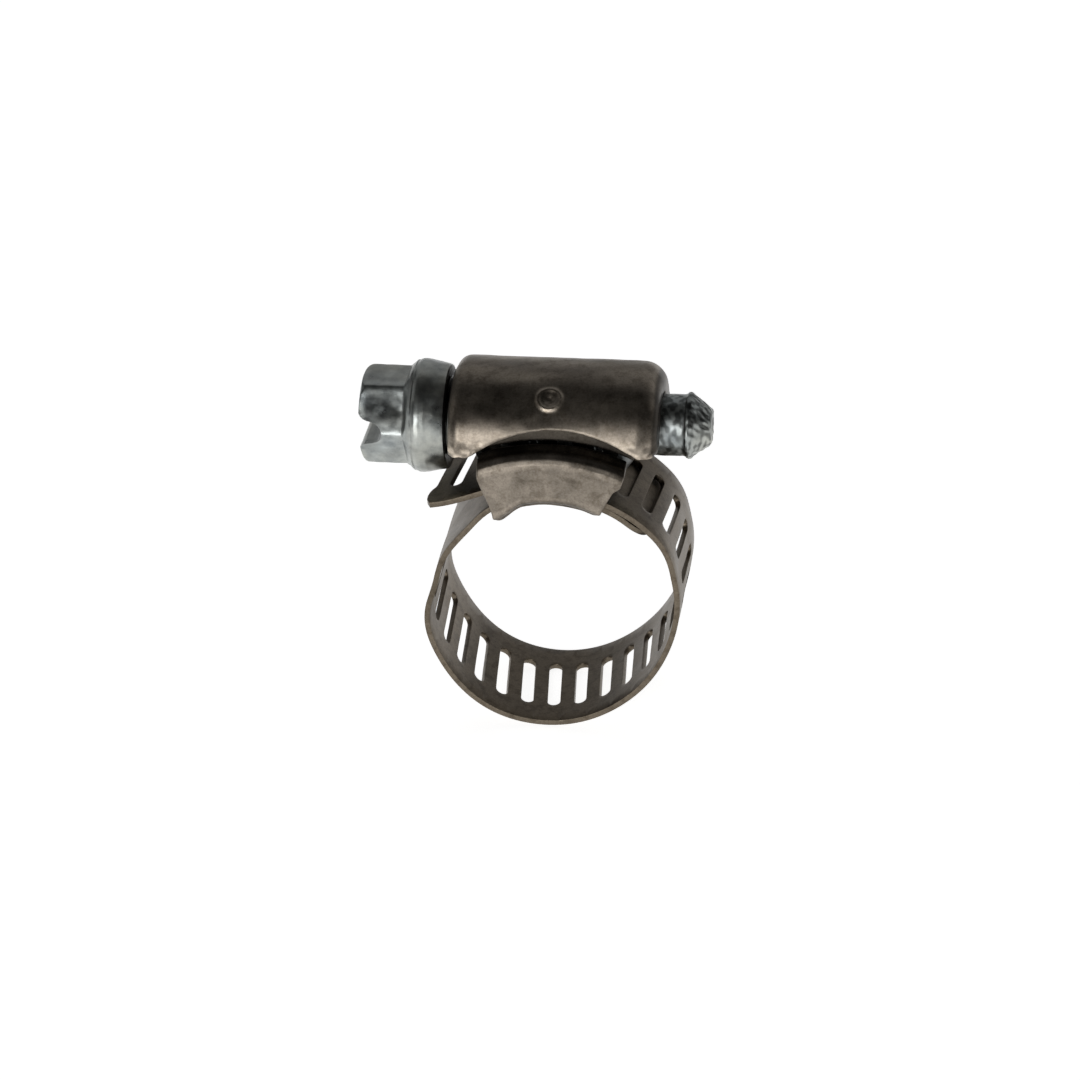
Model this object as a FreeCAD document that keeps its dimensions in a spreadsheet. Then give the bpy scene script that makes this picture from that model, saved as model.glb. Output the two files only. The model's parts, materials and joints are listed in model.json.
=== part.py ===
"""Worm-drive hose clamp with a half-inch perforated band, as a FreeCAD document.

Frame: origin at the centre of the clamped bore, +X along the screw from its hex head to its tip,
+Y along the hose, +Z up through the housing. Lengths are in millimetres, angles in degrees, and
angles round the ring are counted from +X towards +Z.
"""
import FreeCAD, Part
import math
import os

from FreeCAD import Placement, Rotation, Vector

Y_AXIS = Vector(0, 1, 0)
X_AXIS = Vector(1, 0, 0)
FAR = 40.0  # reach of cutting sketches, beyond the whole clamp

DIMENSIONS = {
    # band: one strip of spring steel, half an inch wide, with ten slots to the inch
    "BandWidth": 12.7,
    "BandThickness": 0.5,
    "SlotPitch": 2.54,
    "SlotWidth": 1.2,
    "SlotLength": 7.4,
    "SlotSlant": 5.77,
    "FirstSlotAngle": 90.2,
    # ring: radii are those of the strip's inner face
    "BoreRadius": 11.0,
    "LinerRadius": 11.52,
    "OuterLayerRadius": 12.07,
    "LinerEndAngle": 43.0,
    "LinerDipAngle": 118.0,
    "LoopTopAngle": 150.0,
    "SplitAngle": 327.0,
    "RiseStartAngle": -29.0,
    "RiseEndAngle": 18.0,
    "TailLiftAngle": 112.0,
    "TailLength": 7.2,
    "TailCurlRadius": 20.0,
    "TailCornerRadius": 3.6,
    "SplitGap": 0.05,
    "SlotFreeAngle": 157.0,
    # screw
    "ScrewAxisHeight": 16.3,
    "HeadStart": -17.4,
    "HexLength": 4.0,
    "HexAcrossFlats": 7.8,
    "HexCornerRadius": 4.4,
    "DriverSlotWidth": 1.9,
    "DriverSlotDepth": 2.1,
    "DriverSlotFillet": 0.4,
    "HeadEndRound": 0.55,
    "CollarFaceRise": 0.25,
    "CollarFaceLength": 0.9,
    "CollarCrownLength": 1.4,
    "CollarRimLength": 1.9,
    "CollarRimDrop": 0.05,
    "CollarRadius": 5.1,
    "CollarEndRadius": 4.65,
    "CollarEnd": -9.65,
    "NeckRadius": 4.2,
    "WormStart": -7.9,
    "WormEnd": 8.3,
    "RootRadius": 3.15,
    "CrestRadius": 4.2,
    "CrestWidth": 0.72,
    "ToothRootWidth": 1.3,
    "ToothSink": 0.1,
    "ThreadLead": 0.2,
    "ThreadRunout": 0.4,
    "ShankRadius": 2.75,
    "BeadRadius": 2.95,
    "BeadStart": 2.3,
    "BeadCrown": 2.1,
    "BeadEnd": 1.8,
    "BeadEndDrop": 0.1,
    "TipRadius": 1.55,
    "TipChamfer": 0.1,
    "TipRimDrop": 0.2,
    "TipCupDepth": 0.35,
    "TipEnd": 13.8,
    # housing: a drawn shell over the worm
    "HousingStart": -9.2,
    "HousingEnd": 9.9,
    "HousingHalfWidth": 6.6,
    "HousingRise": 5.3,
    "HousingBase": 14.45,
    "HousingWall": 0.8,
    "LeadHoleRadius": 4.35,
    "TipHoleRadius": 2.95,
    "HeadEndFillet": 1.2,
    "TipEndFillet": 1.9,
    "ArchRadius": 9.9,
    "ArchCentreX": 0.3,
    "ArchCentreHeight": 8.1,
    "FlangeHalfGap": 4.65,
    "FlangeThickness": 0.6,
    "FlangeBottomRadius": 15.9,
    "FlangeTopOverlap": 0.9,
    "FlangeHalfLength": 5.4,
    "DimpleRadius": 1.25,
    "DimpleX": -0.15,
    "DimpleTurn": 33.0,
    "DimpleOffset": -4.12,
    "DimpleHeight": 20.44,
    "DimpleDepth": 0.5,
    "DimpleProud": 0.15,
    # saddle: a U that cradles the band, its wings curled in under the housing's arches
    "SaddleThickness": 0.5,
    "SaddleInnerHalfWidth": 6.45,
    "SaddleFootChamfer": 0.35,
    "SaddleSweep": 80.0,
    "WingBendRadius": 15.0,
    "WingTopRadius": 16.5,
    "WingTopHalfWidth": 5.72,
    "WingTopThickness": 0.4,
    "WingTopSlope": 0.32,
    "WingInnerDrop": 0.2,
    "WingTopHalfLength": 6.6,
    "WingWaistHalfLength": 5.6,
    "WingWaistHeight": 12.6,
    "WingShoulderHeight": 13.4,
    "WingFootHalfLength": 4.5,
    "WingCentreX": 0.15,
}


def make_document():
    """Start the document and fill its spreadsheet of driving dimensions."""
    doc = FreeCAD.newDocument("HoseClamp")
    sheet = doc.addObject("Spreadsheet::Sheet", "Dims")
    for row, (name, value) in enumerate(DIMENSIONS.items(), start=1):
        sheet.set(f"A{row}", name)
        sheet.set(f"B{row}", str(value))
        sheet.setAlias(f"B{row}", name)
    doc.recompute()
    return doc, sheet


def origin_feature(body, role):
    """One of a body's own origin planes or axes."""
    return next(item for item in body.Origin.OriginFeatures if item.Role == role)


def new_body(doc, label):
    body = doc.addObject("PartDesign::Body", label)
    body.Label = label
    body.Placement = Placement()
    return body


def new_sketch(body, name, plane, offset=Vector()):
    """A sketch flat on one of the body's origin planes, moved by offset in the sketch's own axes."""
    sketch = body.newObject("Sketcher::SketchObject", name)
    sketch.AttachmentSupport = [(origin_feature(body, plane), "")]
    sketch.MapMode = "FlatFace"
    sketch.AttachmentOffset = Placement(offset, Rotation())
    return sketch


def add_polygon(sketch, corners):
    """Closed straight outline; corners are (u, v) pairs in the sketch's plane."""
    points = [Vector(u, v, 0) for u, v in corners]
    for start, end in zip(points, points[1:] + points[:1]):
        sketch.addGeometry(Part.LineSegment(start, end), False)


def add_circle(sketch, u, v, radius):
    sketch.addGeometry(Part.Circle(Vector(u, v, 0), Vector(0, 0, 1), radius), False)


def bind_length(feature, expression):
    feature.setExpression("Length", expression)


def checked_cut(doc, body, feature):
    """Recompute after a cutting feature and make sure it took something away."""
    before = feature.BaseFeature.Shape.Volume
    doc.recompute()
    if feature.Shape.Volume >= before - 1e-3:
        raise RuntimeError(f"{feature.Name} cut nothing from {body.Label}")


def through_pocket(doc, body, sketch, name):
    """Cut a sketch's outline through the whole body, to both sides of its plane."""
    pocket = body.newObject("PartDesign::Pocket", name)
    pocket.Profile = sketch
    pocket.Type = "ThroughAll"
    pocket.Midplane = True
    checked_cut(doc, body, pocket)
    return pocket


# ---------------------------------------------------------------- band


def ring_point(radius, angle):
    turn = math.radians(angle)
    return Vector(radius * math.cos(turn), 0, radius * math.sin(turn))


def ring_tangent(angle):
    """Direction of growing angle round the ring."""
    turn = math.radians(angle)
    return Vector(-math.sin(turn), 0, math.cos(turn))


def arc_edge(radius, start, end):
    points = [ring_point(radius, angle) for angle in (start, (start + end) / 2, end)]
    return Part.Arc(*points).toShape()


def easing_edge(start_radius, end_radius, start, end, steps=8):
    """Smooth change of radius between two angles, tangent to the ring at both ends."""
    points = []
    for step in range(steps + 1):
        share = step / steps
        blend = share * share * (3 - 2 * share)
        radius = start_radius + (end_radius - start_radius) * blend
        points.append(ring_point(radius, start + (end - start) * share))
    curve = Part.BSplineCurve()
    curve.interpolate(
        Points=points, InitialTangent=ring_tangent(start), FinalTangent=ring_tangent(end)
    )
    return curve.toShape()


def tail_edge(sheet, offset):
    """The free end's gentle outward curl, an arc that leaves the ring tangentially."""
    start = sheet.TailLiftAngle
    curl = sheet.TailCurlRadius
    centre = ring_point(sheet.OuterLayerRadius + curl, start)
    sweep = math.degrees(sheet.TailLength / curl)
    inward = ring_point(-(curl - offset), start)
    points = [
        centre + Rotation(Y_AXIS, sweep * share).multVec(inward) for share in (0, 0.5, 1)
    ]
    return Part.Arc(*points).toShape()


def loop_edges(sheet, offset):
    """Fixed strip: liner under the worm, dip out of the saddle, then the bore's own arc."""
    liner = sheet.LinerRadius + offset
    bore = sheet.BoreRadius + offset
    return [
        arc_edge(liner, sheet.LinerEndAngle, sheet.LinerDipAngle),
        easing_edge(liner, bore, sheet.LinerDipAngle, sheet.LoopTopAngle),
        arc_edge(bore, sheet.LoopTopAngle, sheet.SplitAngle),
    ]


def free_end_edges(sheet, offset):
    """Moving strip: end of the bore's arc, rise to the outer layer, worm track and tail."""
    bore = sheet.BoreRadius + offset
    outer = sheet.OuterLayerRadius + offset
    gap_angle = math.degrees(sheet.SplitGap / sheet.BoreRadius)
    start = sheet.SplitAngle - 360 + gap_angle
    return [
        arc_edge(bore, start, sheet.RiseStartAngle),
        easing_edge(bore, outer, sheet.RiseStartAngle, sheet.RiseEndAngle),
        arc_edge(outer, sheet.RiseEndAngle, sheet.TailLiftAngle),
        tail_edge(sheet, offset),
    ]


def strip_solid(sheet, edges_at):
    """Extrude the band between its inner and outer edges over the band's width."""
    inner = edges_at(sheet, 0)
    outer = edges_at(sheet, sheet.BandThickness)
    ends = [
        Part.LineSegment(inner[0].firstVertex(True).Point, outer[0].firstVertex(True).Point),
        Part.LineSegment(inner[-1].lastVertex(True).Point, outer[-1].lastVertex(True).Point),
    ]
    outline = inner + outer + [line.toShape() for line in ends]
    face = Part.Face(Part.Wire(Part.__sortEdges__(outline)))
    face.translate(-Y_AXIS * sheet.BandWidth / 2)
    return face.extrude(Y_AXIS * sheet.BandWidth)


def slot_cutter(sheet, centre, tangent):
    """Round-ended slot through the strip, slanted to follow the screw thread."""
    half_width = sheet.SlotWidth / 2
    half_run = sheet.SlotLength / 2 - half_width
    depth = 3 * sheet.BandThickness
    corners = [(-half_width, -half_run), (-half_width, half_run),
               (half_width, half_run), (half_width, -half_run)]
    points = [Vector(u, v, -depth / 2) for u, v in corners]
    outline = Part.Wire([
        Part.LineSegment(points[0], points[1]).toShape(),
        Part.Arc(points[1], Vector(0, half_run + half_width, -depth / 2), points[2]).toShape(),
        Part.LineSegment(points[2], points[3]).toShape(),
        Part.Arc(points[3], Vector(0, -half_run - half_width, -depth / 2), points[0]).toShape(),
    ])
    cutter = Part.Face(outline).extrude(Vector(0, 0, depth))
    cutter.rotate(Vector(), Vector(0, 0, 1), -sheet.SlotSlant)
    along = Vector(-tangent.x, 0, -tangent.z)  # towards smaller angles, +X at the ring's top
    outward = along.cross(Y_AXIS)
    axes = FreeCAD.Matrix(along.x, 0, outward.x, centre.x,
                          along.y, 1, outward.y, centre.y,
                          along.z, 0, outward.z, centre.z)
    return cutter.transformGeometry(axes)


def slot_places(sheet, edges, first):
    """Slot centres and tangents, one pitch apart along a centreline, the first at a distance."""
    places = []
    distance = first
    for edge in edges:
        while distance <= edge.Length:
            parameter = edge.getParameterByLength(distance)
            places.append((edge.valueAt(parameter), edge.tangentAt(parameter).normalize()))
            distance += sheet.SlotPitch
        distance -= edge.Length
    return places


def slotted(strip, sheet, places):
    return strip.cut([slot_cutter(sheet, centre, tangent) for centre, tangent in places])


def band_feature(doc, label, shape):
    feature = doc.addObject("Part::Feature", label)
    feature.Label = label
    feature.Shape = shape
    feature.Placement = Placement()
    return feature


def rounded_tip(sheet, strip, tip):
    """Round the two corners of the free end's tip, seen from above."""
    half_width = sheet.BandWidth / 2
    corners = []
    for edge in strip.Edges:
        centre = edge.CenterOfMass
        flat_centre = Vector(centre.x, 0, centre.z)
        if (flat_centre.distanceToPoint(tip) < sheet.BandThickness
                and edge.Length < 1.01 * sheet.BandThickness
                and abs(abs(centre.y) - half_width) < 0.01):
            corners.append(edge)
    return strip.makeFillet(sheet.TailCornerRadius, corners)


def make_band(doc, sheet):
    """The band's two nodes. Slots run at one pitch through both, counted from the worm."""
    middle = sheet.BandThickness / 2
    centre = free_end_edges(sheet, middle)
    track_radius = sheet.OuterLayerRadius + middle
    to_first = math.radians(sheet.FirstSlotAngle - sheet.RiseEndAngle) * track_radius
    start = (centre[0].Length + centre[1].Length + to_first) % sheet.SlotPitch
    tip = centre[-1].lastVertex(True).Point
    places = [place for place in slot_places(sheet, centre, start)
              if place[0].distanceToPoint(tip) > sheet.TailCornerRadius]
    strip = rounded_tip(sheet, strip_solid(sheet, free_end_edges), tip)
    free_end = band_feature(doc, "band_free_end", slotted(strip, sheet, places))

    centre = loop_edges(sheet, middle)
    total = sum(edge.Length for edge in centre) + sheet.SplitGap
    places = []
    for place in slot_places(sheet, centre, (total + start) % sheet.SlotPitch):
        angle = math.degrees(math.atan2(place[0].z, place[0].x)) % 360
        if angle > sheet.SlotFreeAngle:
            places.append(place)
    strip = strip_solid(sheet, loop_edges)
    loop = band_feature(doc, "band_loop", slotted(strip, sheet, places))
    return [loop, free_end]


# ---------------------------------------------------------------- screw


def make_screw(doc, sheet):
    """Turned and rolled screw: hex head with driver slot, collar, worm and pilot tip."""
    body = new_body(doc, "screw")
    body.Placement = Placement()
    axis = sheet.ScrewAxisHeight
    head, hex_end = sheet.HeadStart, sheet.HeadStart + sheet.HexLength
    corner, face_round = sheet.HexCornerRadius, sheet.HeadEndRound
    collar, tip = sheet.CollarRadius, sheet.TipEnd
    bead, point = sheet.BeadRadius, sheet.TipRadius
    profile = [
        (head, 0), (head, corner - face_round), (head + face_round, corner),
        (hex_end, corner),
        (hex_end + sheet.CollarFaceLength, collar - sheet.CollarFaceRise),
        (hex_end + sheet.CollarCrownLength, collar),
        (hex_end + sheet.CollarRimLength, collar - sheet.CollarRimDrop),
        (sheet.CollarEnd, sheet.CollarEndRadius), (sheet.CollarEnd, sheet.NeckRadius),
        (sheet.WormStart, sheet.NeckRadius), (sheet.WormStart, sheet.RootRadius),
        (sheet.WormEnd, sheet.RootRadius), (sheet.WormEnd + sheet.ThreadRunout, sheet.ShankRadius),
        (tip - sheet.BeadStart, sheet.ShankRadius), (tip - sheet.BeadCrown, bead),
        (tip - sheet.BeadEnd, bead - sheet.BeadEndDrop), (tip - sheet.TipChamfer, point),
        (tip, point - sheet.TipRimDrop), (tip - sheet.TipCupDepth, 0),
    ]
    outline = new_sketch(body, "ScrewOutline", "XZ_Plane")
    add_polygon(outline, profile)
    core = body.newObject("PartDesign::Revolution", "ScrewCore")
    core.Profile = outline
    core.ReferenceAxis = (origin_feature(body, "X_Axis"), [""])
    core.Angle = 360
    doc.recompute()

    thread_start = sheet.WormStart + sheet.ThreadLead
    half_crest, half_root = sheet.CrestWidth / 2, sheet.ToothRootWidth / 2
    # the tooth must pass the first slot at the bottom of its turn
    first_slot_x = (sheet.OuterLayerRadius + sheet.BandThickness / 2) * math.cos(
        math.radians(sheet.FirstSlotAngle))
    pitch = sheet.SlotPitch
    tooth_at_top = first_slot_x - pitch / 2
    turns_back = math.ceil((tooth_at_top - thread_start - half_root) / pitch) - 1
    tooth_x = tooth_at_top - turns_back * pitch
    sunk = sheet.RootRadius - sheet.ToothSink
    tooth = new_sketch(body, "ToothOutline", "XZ_Plane")
    add_polygon(tooth, [
        (tooth_x - half_root, sunk), (tooth_x + half_root, sunk),
        (tooth_x + half_crest, sheet.CrestRadius), (tooth_x - half_crest, sheet.CrestRadius),
    ])
    worm = body.newObject("PartDesign::AdditiveHelix", "Worm")
    worm.Profile = tooth
    worm.ReferenceAxis = (origin_feature(body, "X_Axis"), [""])
    worm.Mode = 0
    worm.setExpression("Pitch", "Dims.SlotPitch")
    worm.Height = math.floor((sheet.WormEnd - tooth_x - half_root) / pitch) * pitch
    doc.recompute()

    flats = new_sketch(body, "HexFlats", "YZ_Plane", Vector(0, 0, head))
    across = sheet.HexAcrossFlats / math.sqrt(3)
    add_polygon(flats, [(across * math.cos(math.radians(60 * k)),
                         across * math.sin(math.radians(60 * k))) for k in range(6)])
    add_circle(flats, 0, 0, 2 * sheet.HexCornerRadius)
    hexagon = body.newObject("PartDesign::Pocket", "Hexagon")
    hexagon.Profile = flats
    hexagon.Reversed = True
    bind_length(hexagon, "Dims.HexLength")
    checked_cut(doc, body, hexagon)

    slot = new_sketch(body, "DriverSlot", "XZ_Plane")
    half = sheet.DriverSlotWidth / 2
    depth, fillet = head + sheet.DriverSlotDepth, sheet.DriverSlotFillet
    add_polygon(slot, [
        (head - 1, -half), (depth - fillet, -half), (depth, -half + fillet),
        (depth, half - fillet), (depth - fillet, half), (head - 1, half),
    ])
    through_pocket(doc, body, slot, "DriverSlotCut")
    body.Placement = Placement(Vector(0, 0, axis), Rotation())
    body.setExpression("Placement.Base.z", "Dims.ScrewAxisHeight")
    return body


# ---------------------------------------------------------------- housing


def add_arch(sketch, half_width, rise, spring, base):
    """Tunnel section: an elliptical arch on straight legs, in a sketch of the YZ plane."""
    centre = Vector(0, spring, 0)
    crown = Part.Ellipse(centre + Vector(half_width, 0, 0), centre + Vector(0, rise, 0), centre)
    sketch.addGeometry(Part.ArcOfEllipse(crown, 0, math.pi), False)
    left, right = Vector(-half_width, spring, 0), Vector(half_width, spring, 0)
    low_left, low_right = Vector(-half_width, base, 0), Vector(half_width, base, 0)
    for start, end in ((left, low_left), (low_left, low_right), (low_right, right)):
        sketch.addGeometry(Part.LineSegment(start, end), False)


def end_edge_names(shape, x, base):
    """Names of a tunnel end's arch and side edges, without the straight one along its base."""
    names = []
    for number, edge in enumerate(shape.Edges, start=1):
        box = edge.BoundBox
        at_end = box.XLength < 1e-3 and abs(box.XMin - x) < 1e-3
        if at_end and box.ZLength > 1e-3 and box.ZMax > base + 1e-3:
            names.append(f"Edge{number}")
    return names


def make_housing(doc, sheet):
    """Drawn shell: arched tunnel with closed-in ends, side arches and inner flanges."""
    body = new_body(doc, "housing")
    axis, wall = sheet.ScrewAxisHeight, sheet.HousingWall
    start, end = sheet.HousingStart, sheet.HousingEnd

    section = new_sketch(body, "ShellSection", "YZ_Plane", Vector(0, 0, start))
    add_arch(section, sheet.HousingHalfWidth, sheet.HousingRise, axis, sheet.HousingBase)
    shell = body.newObject("PartDesign::Pad", "Shell")
    shell.Profile = section
    bind_length(shell, "Dims.HousingEnd - Dims.HousingStart")
    doc.recompute()

    for name, x, radius in (("HeadEndRound", start, "Dims.HeadEndFillet"),
                            ("TipEndRound", end, "Dims.TipEndFillet")):
        base = body.Tip
        fillet = body.newObject("PartDesign::Fillet", name)
        fillet.Base = (base, end_edge_names(base.Shape, x, sheet.HousingBase))
        fillet.setExpression("Radius", radius)
        doc.recompute()

    hollow = new_sketch(body, "HollowSection", "YZ_Plane", Vector(0, 0, start + wall))
    add_arch(hollow, sheet.HousingHalfWidth - wall, sheet.HousingRise - wall, axis,
             sheet.HousingBase - 1)
    cavity = body.newObject("PartDesign::Pocket", "Cavity")
    cavity.Profile = hollow
    cavity.Reversed = True
    bind_length(cavity, "Dims.HousingEnd - Dims.HousingStart - 2 * Dims.HousingWall")
    checked_cut(doc, body, cavity)

    for name, x, radius in (("LeadHole", start - 1, sheet.LeadHoleRadius),
                            ("TipHole", end - 2 * wall, sheet.TipHoleRadius)):
        circle = new_sketch(body, name + "Circle", "YZ_Plane", Vector(0, 0, x))
        add_circle(circle, 0, axis, radius)
        hole = body.newObject("PartDesign::Pocket", name)
        hole.Profile = circle
        hole.Reversed = True
        hole.Length = 3 * wall
        checked_cut(doc, body, hole)

    arches = new_sketch(body, "ArchCircle", "XZ_Plane")
    add_circle(arches, sheet.ArchCentreX, sheet.ArchCentreHeight, sheet.ArchRadius)
    through_pocket(doc, body, arches, "Arches")

    for name, side in (("NearFlange", -1), ("FarFlange", 1)):
        inner = side * sheet.FlangeHalfGap
        sketch = new_sketch(body, name + "Outline", "XZ_Plane", Vector(0, 0, -inner))
        add_flange(sketch, sheet)
        flange = body.newObject("PartDesign::Pad", name)
        flange.Profile = sketch
        bind_length(flange, "Dims.FlangeThickness")
        flange.Reversed = side > 0
        doc.recompute()

    dimple = body.newObject("PartDesign::AdditiveCylinder", "Dimple")
    dimple.setExpression("Radius", "Dims.DimpleRadius")
    dimple.setExpression("Height", "Dims.DimpleDepth + Dims.DimpleProud")
    dimple.AttachmentSupport = [(origin_feature(body, "XY_Plane"), "")]
    dimple.MapMode = "FlatFace"
    outward = Rotation(X_AXIS, sheet.DimpleTurn)
    surface = Vector(sheet.DimpleX, sheet.DimpleOffset, sheet.DimpleHeight)
    base = surface - outward.multVec(Vector(0, 0, sheet.DimpleDepth))
    dimple.AttachmentOffset = Placement(base, outward)
    doc.recompute()
    return body


def height_on_circle(radius, centre, x):
    """Upper height of a circle in the XZ plane at a given x."""
    return centre.y + math.sqrt(radius ** 2 - (x - centre.x) ** 2)


def add_flange(sketch, sheet):
    """Strip from behind the arch's edge down to a circle round the bore that clears the band."""
    centre = Vector(sheet.ArchCentreX, sheet.ArchCentreHeight, 0)
    top_radius, low_radius = sheet.ArchRadius + sheet.FlangeTopOverlap, sheet.FlangeBottomRadius
    stations = [centre.x + share * sheet.FlangeHalfLength for share in (-1, 0, 1)]
    top = [Vector(x, height_on_circle(top_radius, centre, x), 0) for x in stations]
    low = [Vector(x, height_on_circle(low_radius, Vector(), x), 0) for x in stations]
    sketch.addGeometry(Part.Arc(*top), False)
    sketch.addGeometry(Part.LineSegment(top[2], low[2]), False)
    sketch.addGeometry(Part.Arc(*low), False)
    sketch.addGeometry(Part.LineSegment(low[0], top[0]), False)


# ---------------------------------------------------------------- saddle


def make_saddle(doc, sheet):
    """Cradle swept round the bore's axis, then trimmed to its hourglass side view."""
    body = new_body(doc, "saddle")
    wall = sheet.SaddleThickness
    inner, outer = sheet.SaddleInnerHalfWidth, sheet.SaddleInnerHalfWidth + wall
    floor, bend = sheet.BoreRadius, sheet.WingBendRadius
    top, top_half = sheet.WingTopRadius, sheet.WingTopHalfWidth
    foot = sheet.SaddleFootChamfer
    right_side = [
        (outer - foot, floor), (outer, floor + foot), (outer, bend), (top_half, top),
        (top_half - sheet.WingTopThickness, top - sheet.WingTopSlope),
        (inner, bend - sheet.WingInnerDrop), (inner, floor + wall),
    ]
    left_side = [(-u, v) for u, v in reversed(right_side)]
    section = new_sketch(body, "CradleSection", "YZ_Plane")
    add_polygon(section, right_side + left_side)
    cradle = body.newObject("PartDesign::Revolution", "Cradle")
    cradle.Profile = section
    cradle.ReferenceAxis = (origin_feature(body, "Y_Axis"), [""])
    cradle.Angle = sheet.SaddleSweep
    cradle.Midplane = True
    doc.recompute()

    middle = sheet.WingCentreX
    half = [
        (sheet.WingTopHalfLength, FAR), (sheet.WingTopHalfLength, sheet.WingShoulderHeight),
        (sheet.WingWaistHalfLength, sheet.WingWaistHeight), (sheet.WingFootHalfLength, 0),
    ]
    outline = [(middle + u, v) for u, v in half] + [(middle - u, v) for u, v in reversed(half)]
    trim = new_sketch(body, "SideOutline", "XZ_Plane")
    add_polygon(trim, outline)
    add_polygon(trim, [(-FAR, -1), (FAR, -1), (FAR, FAR + 1), (-FAR, FAR + 1)])
    through_pocket(doc, body, trim, "SideTrim")
    return body


def check_and_export(doc, subparts):
    """Stop on any failed object or bad shape, then write one STEP file for each sub-part."""
    doc.recompute()
    for item in doc.Objects:
        if "Invalid" in item.State or "Error" in item.State:
            raise RuntimeError(f"{item.Name} did not compute: {item.State}")
    os.makedirs("parts", exist_ok=True)
    for subpart in subparts:
        shape = subpart.Shape
        if shape.isNull() or not shape.isValid() or len(shape.Solids) != 1:
            raise RuntimeError(f"{subpart.Label} is not one valid solid")
        shape.exportStep(f"parts/{subpart.Label}.step")
        print(subpart.Label, "volume", round(shape.Volume, 2), shape.BoundBox)


def main():
    doc, sheet = make_document()
    subparts = make_band(doc, sheet)
    subparts.append(make_screw(doc, sheet))
    subparts.append(make_housing(doc, sheet))
    subparts.append(make_saddle(doc, sheet))
    check_and_export(doc, subparts)


main()
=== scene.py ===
"""Visual model of a worm-drive hose clamp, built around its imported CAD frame.

Shapes are worked out in millimetres in the row frame: origin at the bore's centre, +X from the
screw's head to its tip, +Y along the hose, +Z up through the housing. Angles round the ring are
in degrees, counted from +X towards +Z.
"""
import json
import math

import bmesh
import bpy
import numpy as np
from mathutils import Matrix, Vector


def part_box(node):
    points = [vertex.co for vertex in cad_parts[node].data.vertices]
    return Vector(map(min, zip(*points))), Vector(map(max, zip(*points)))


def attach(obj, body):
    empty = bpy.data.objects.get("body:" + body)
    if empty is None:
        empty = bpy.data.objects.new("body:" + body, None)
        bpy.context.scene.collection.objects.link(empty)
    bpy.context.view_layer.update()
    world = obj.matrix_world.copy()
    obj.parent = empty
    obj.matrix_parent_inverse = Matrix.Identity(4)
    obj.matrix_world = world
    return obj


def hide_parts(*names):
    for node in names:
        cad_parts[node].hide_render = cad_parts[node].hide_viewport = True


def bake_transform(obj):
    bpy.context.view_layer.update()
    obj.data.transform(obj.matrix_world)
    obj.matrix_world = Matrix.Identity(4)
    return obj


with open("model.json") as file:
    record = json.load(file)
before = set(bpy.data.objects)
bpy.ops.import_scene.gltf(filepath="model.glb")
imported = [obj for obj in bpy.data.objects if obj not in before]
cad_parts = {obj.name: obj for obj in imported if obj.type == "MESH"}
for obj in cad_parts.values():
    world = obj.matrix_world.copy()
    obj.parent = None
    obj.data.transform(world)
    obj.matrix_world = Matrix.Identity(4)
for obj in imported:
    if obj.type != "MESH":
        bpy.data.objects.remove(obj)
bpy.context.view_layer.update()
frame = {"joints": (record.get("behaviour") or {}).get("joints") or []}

import openvdb as vdb
from mathutils import Matrix, Vector

MM = 0.001
screw_joint = next(j for j in frame["joints"] if j["name"] == "screw_turn")
AXIS_Z = screw_joint["pos_m"][2] / MM


def box_mm(node):
    low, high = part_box(node)
    return np.array(low) / MM, np.array(high) / MM


# ---------------------------------------------------------------- small maths


def smoothstep(x, start, end):
    t = np.clip((x - start) / (end - start), 0, 1)
    return t * t * (3 - 2 * t)


def bell(x, centre, width):
    return np.exp(-((x - centre) / width) ** 2)


def soft_min(a, b, k):
    """Smaller of two values, with the crease rounded over a width k."""
    h = np.clip(0.5 + 0.5 * (b - a) / k, 0, 1)
    return b + (a - b) * h - k * h * (1 - h)


def soft_max(a, b, k):
    return -soft_min(-a, -b, k)


def dents(x, y, z, layers):
    """Sum of random fields; each layer is (height, wavelength, seed)."""
    return sum(height * waves(x, y, z, size, seed) for height, size, seed in layers)


def waves(x, y, z, size, seed, count=9):
    """Smooth random field of about unit height; size is its typical wavelength."""
    rng = np.random.default_rng(seed)
    total = np.zeros(np.broadcast(x, y, z).shape)
    for _ in range(count):
        direction = rng.normal(size=3)
        direction *= rng.uniform(0.6, 1.7) * 2 * math.pi / size / np.linalg.norm(direction)
        total = total + np.sin(direction[0] * x + direction[1] * y + direction[2] * z
                               + rng.uniform(0, 2 * math.pi))
    return total * math.sqrt(2 / count) * 0.6


# ---------------------------------------------------------------- meshes


def new_object(name, points, faces, smooth=True):
    """Mesh object from points in millimetres."""
    mesh = bpy.data.meshes.new(name)
    mesh.from_pydata((np.asarray(points) * MM).tolist(), [], [list(map(int, f)) for f in faces])
    mesh.validate()
    bm = bmesh.new()
    bm.from_mesh(mesh)
    bmesh.ops.recalc_face_normals(bm, faces=bm.faces)
    if bm.calc_volume(signed=True) < 0:
        bmesh.ops.reverse_faces(bm, faces=bm.faces)
    bm.to_mesh(mesh)
    bm.free()
    mesh.polygons.foreach_set("use_smooth", [smooth] * len(mesh.polygons))
    piece = bpy.data.objects.new(name, mesh)
    bpy.context.scene.collection.objects.link(piece)
    return piece


def add_bevel(piece, width, seam, segments=2, angle=35):
    """Round every sharp edge but those of the seam, where a strip's two halves meet."""
    mesh = piece.data
    bm = bmesh.new()
    bm.from_mesh(mesh)
    weight = bm.edges.layers.float.new("bevel_weight_edge")
    for edge in bm.edges:
        if len(edge.link_faces) < 2 or edge.calc_face_angle(0) < math.radians(angle):
            continue
        if all(seam(vert.co / MM) for vert in edge.verts):
            edge.smooth = False
        else:
            edge[weight] = 1.0
    bm.to_mesh(mesh)
    bm.free()
    bevel = piece.modifiers.new("EdgeRound", "BEVEL")
    bevel.width = width * MM
    bevel.segments = segments
    bevel.limit_method = "WEIGHT"


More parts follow.
